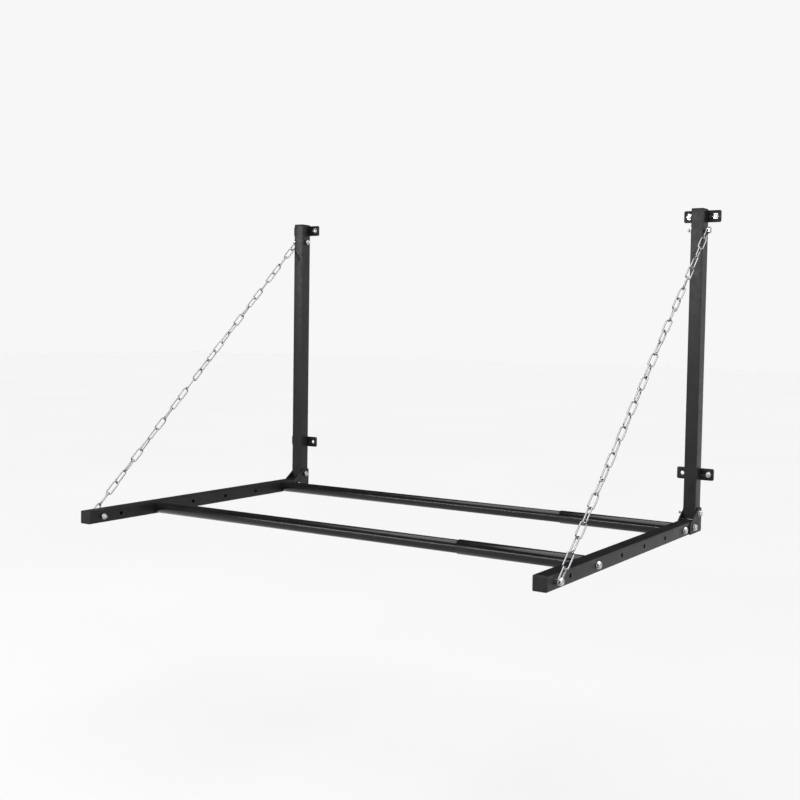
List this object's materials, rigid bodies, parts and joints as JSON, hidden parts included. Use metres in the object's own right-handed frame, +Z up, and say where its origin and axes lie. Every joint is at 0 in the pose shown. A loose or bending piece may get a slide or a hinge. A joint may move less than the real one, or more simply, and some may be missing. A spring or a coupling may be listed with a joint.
{
  "type": "tyre storage rack",
  "caption": "Wall-mounted folding tyre rack: two square-tube arms on uprights, telescoping round cross bars to rest tyres on, and a chain holding up each arm.",
  "frame": {"origin": "in the wall plane, midway between the two uprights, level with the underside of the lowered arms", "axes": "+X along the cross bars towards the right-hand upright, +Y into the wall, +Z up"},
  "size_m": [1.27, 0.798, 0.7555],
  "materials": {
    "tube_frame": "satin black powder coat",
    "plate_frame": "satin black powder coat",
    "insert_steel": "plain turned steel",
    "bolt_zinc": "bright zinc plate",
    "chain_zinc": "bright zinc plate",
    "cap_plastic": "fine matt black"
  },
  "bodies": {
    "upright_right": {"upright_right": "tube_frame", "upright_cap_right": "cap_plastic", "wall_plate_top_right": "plate_frame", "wall_plate_bottom_right": "plate_frame", "wall_screw_top_outer_right": "bolt_zinc", "wall_screw_top_inner_right": "bolt_zinc", "wall_screw_bottom_outer_right": "bolt_zinc", "gusset_outer_right": "plate_frame", "gusset_inner_right": "plate_frame", "gusset_bolt_right": "bolt_zinc", "gusset_nut_right": "bolt_zinc", "pivot_bolt_right": "bolt_zinc", "pivot_nut_right": "bolt_zinc", "chain_top_bolt_right": "bolt_zinc", "chain_top_nut_right": "bolt_zinc"},
    "arm_right": {"arm_right": "tube_frame", "arm_front_cap_right": "cap_plastic", "arm_rear_cap_right": "cap_plastic", "chain_bottom_bolt_right": "bolt_zinc", "chain_bottom_nut_right": "bolt_zinc", "front_bar_outer": "tube_frame", "front_bar_insert_right": "insert_steel", "front_bar_bolt_right": "bolt_zinc", "rear_bar_outer": "tube_frame", "rear_bar_insert_right": "insert_steel", "rear_bar_bolt_right": "bolt_zinc"},
    "chain_upper_right": {"chain_upper_right": "chain_zinc"},
    "chain_turn_link_right": {"chain_turn_link_right": "chain_zinc"},
    "chain_lower_right": {"chain_lower_right": "chain_zinc"},
    "upright_left": {"upright_left": "tube_frame", "upright_cap_left": "cap_plastic", "wall_plate_top_left": "plate_frame", "wall_plate_bottom_left": "plate_frame", "wall_screw_top_outer_left": "bolt_zinc", "wall_screw_top_inner_left": "bolt_zinc", "wall_screw_bottom_outer_left": "bolt_zinc", "gusset_outer_left": "plate_frame", "gusset_inner_left": "plate_frame", "gusset_bolt_left": "bolt_zinc", "gusset_nut_left": "bolt_zinc", "pivot_bolt_left": "bolt_zinc", "pivot_nut_left": "bolt_zinc", "chain_top_bolt_left": "bolt_zinc", "chain_top_nut_left": "bolt_zinc"},
    "arm_left": {"arm_left": "tube_frame", "arm_front_cap_left": "cap_plastic", "arm_rear_cap_left": "cap_plastic", "chain_bottom_bolt_left": "bolt_zinc", "chain_bottom_nut_left": "bolt_zinc", "front_bar_inner": "tube_frame", "front_bar_insert_left": "insert_steel", "front_bar_bolt_left": "bolt_zinc", "rear_bar_inner": "tube_frame", "rear_bar_insert_left": "insert_steel", "rear_bar_bolt_left": "bolt_zinc"},
    "chain_upper_left": {"chain_upper_left": "chain_zinc"},
    "chain_turn_link_left": {"chain_turn_link_left": "chain_zinc"},
    "chain_lower_left": {"chain_lower_left": "chain_zinc"}
  },
  "joints": [
    {"name": "width_slide", "type": "slide", "parent": "upright_right", "child": "upright_left", "axis": [-1, 0, 0], "range_m": [-0.09, 0.09]},
    {"name": "arm_fold_right", "type": "hinge", "parent": "upright_right", "child": "arm_right", "pos_m": [0.59, -0.054, 0.015], "axis": [-1, 0, 0], "range_deg": [0, 90]},
    {"name": "arm_fold_left", "type": "hinge", "parent": "upright_left", "child": "arm_left", "pos_m": [-0.59, -0.054, 0.015], "axis": [-1, 0, 0], "range_deg": [0, 90]},
    {"name": "chain_upper_swing_right", "type": "hinge", "parent": "upright_right", "child": "chain_upper_right", "pos_m": [0.61, -0.0208, 0.705], "axis": [0.9974, -0.0488, 0.0523], "range_deg": [0, 47.06], "deforming": ["chain_upper_right"]},
    {"name": "chain_turn_swing_right", "type": "hinge", "parent": "chain_upper_right", "child": "chain_turn_link_right", "pos_m": [0.61, -0.37582, 0.37361], "axis": [-1, -0.0001, 0.0001], "range_deg": [0, 113.65], "deforming": ["chain_turn_link_right"]},
    {"name": "chain_lower_swing_right", "type": "hinge", "parent": "arm_right", "child": "chain_lower_right", "pos_m": [0.61, -0.76, 0.015], "axis": [-0.9971, 0.0519, -0.0556], "range_deg": [0, 43.52], "deforming": ["chain_lower_right"]},
    {"name": "chain_upper_swing_left", "type": "hinge", "parent": "upright_left", "child": "chain_upper_left", "pos_m": [-0.61, -0.0208, 0.705], "axis": [0.9974, 0.0488, -0.0523], "range_deg": [0, 47.06], "deforming": ["chain_upper_left"]},
    {"name": "chain_turn_swing_left", "type": "hinge", "parent": "chain_upper_left", "child": "chain_turn_link_left", "pos_m": [-0.61, -0.37582, 0.37361], "axis": [-1, 0.0001, -0.0001], "range_deg": [0, 113.65], "deforming": ["chain_turn_link_left"]},
    {"name": "chain_lower_swing_left", "type": "hinge", "parent": "arm_left", "child": "chain_lower_left", "pos_m": [-0.61, -0.76, 0.015], "axis": [-0.9971, -0.0519, 0.0556], "range_deg": [0, 43.52], "deforming": ["chain_lower_left"]}
  ],
  "couplings": [
    {"joint": "arm_fold_left", "follows": "arm_fold_right", "ratio": 1},
    {"joint": "chain_upper_swing_right", "follows": "arm_fold_right", "ratio": 0.52272},
    {"joint": "chain_turn_swing_right", "follows": "arm_fold_right", "ratio": 1.2626},
    {"joint": "chain_lower_swing_right", "follows": "arm_fold_right", "ratio": 0.48339},
    {"joint": "chain_upper_swing_left", "follows": "arm_fold_right", "ratio": 0.52272},
    {"joint": "chain_turn_swing_left", "follows": "arm_fold_right", "ratio": 1.2626},
    {"joint": "chain_lower_swing_left", "follows": "arm_fold_right", "ratio": 0.48339}
  ]
}
